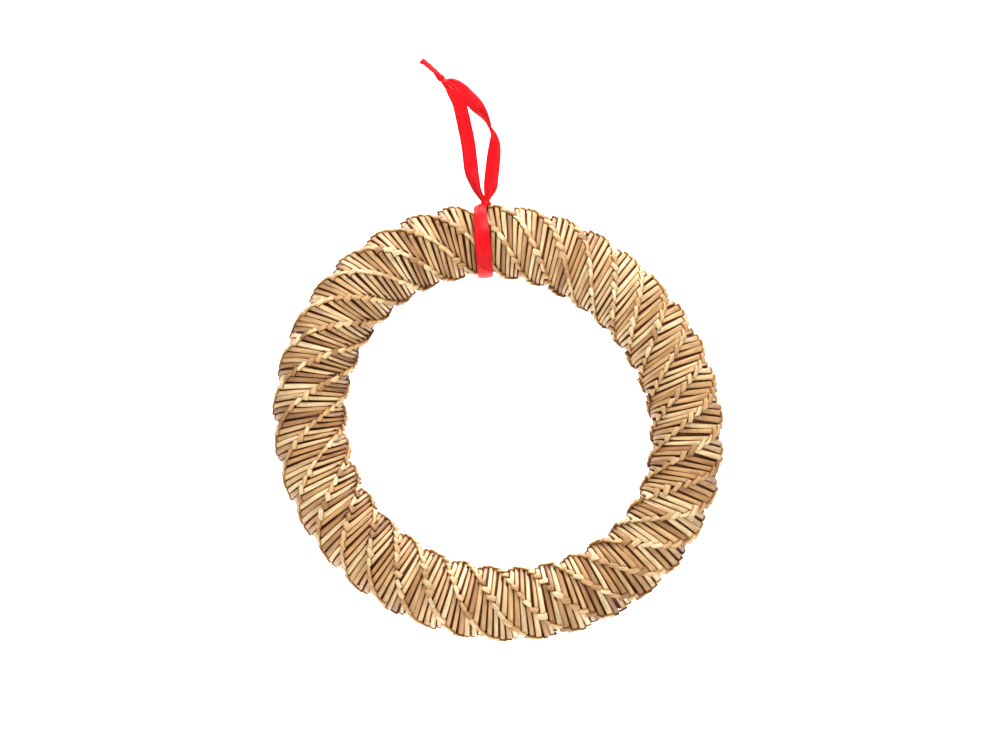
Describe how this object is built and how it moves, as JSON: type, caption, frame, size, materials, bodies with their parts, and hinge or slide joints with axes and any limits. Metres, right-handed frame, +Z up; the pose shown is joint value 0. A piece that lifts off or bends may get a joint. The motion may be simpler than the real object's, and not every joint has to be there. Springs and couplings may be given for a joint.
{
  "type": "straw wreath ornament",
  "caption": "Spiral-plaited straw wreath with a tied ribbon loop to hang it by.",
  "frame": {"origin": "crotch of the ribbon's loop, the point that a nail or hook bears on", "axes": "+Z up, the ring in the XZ plane with its front towards -Y, +X to the right from the front"},
  "size_m": [0.3068, 0.0514, 0.3968],
  "materials": {
    "straw": "satin",
    "ribbon": "satin"
  },
  "bodies": {
    "root": {"straw_plait": "straw", "hanging_ribbon": "ribbon"}
  },
  "joints": []
}
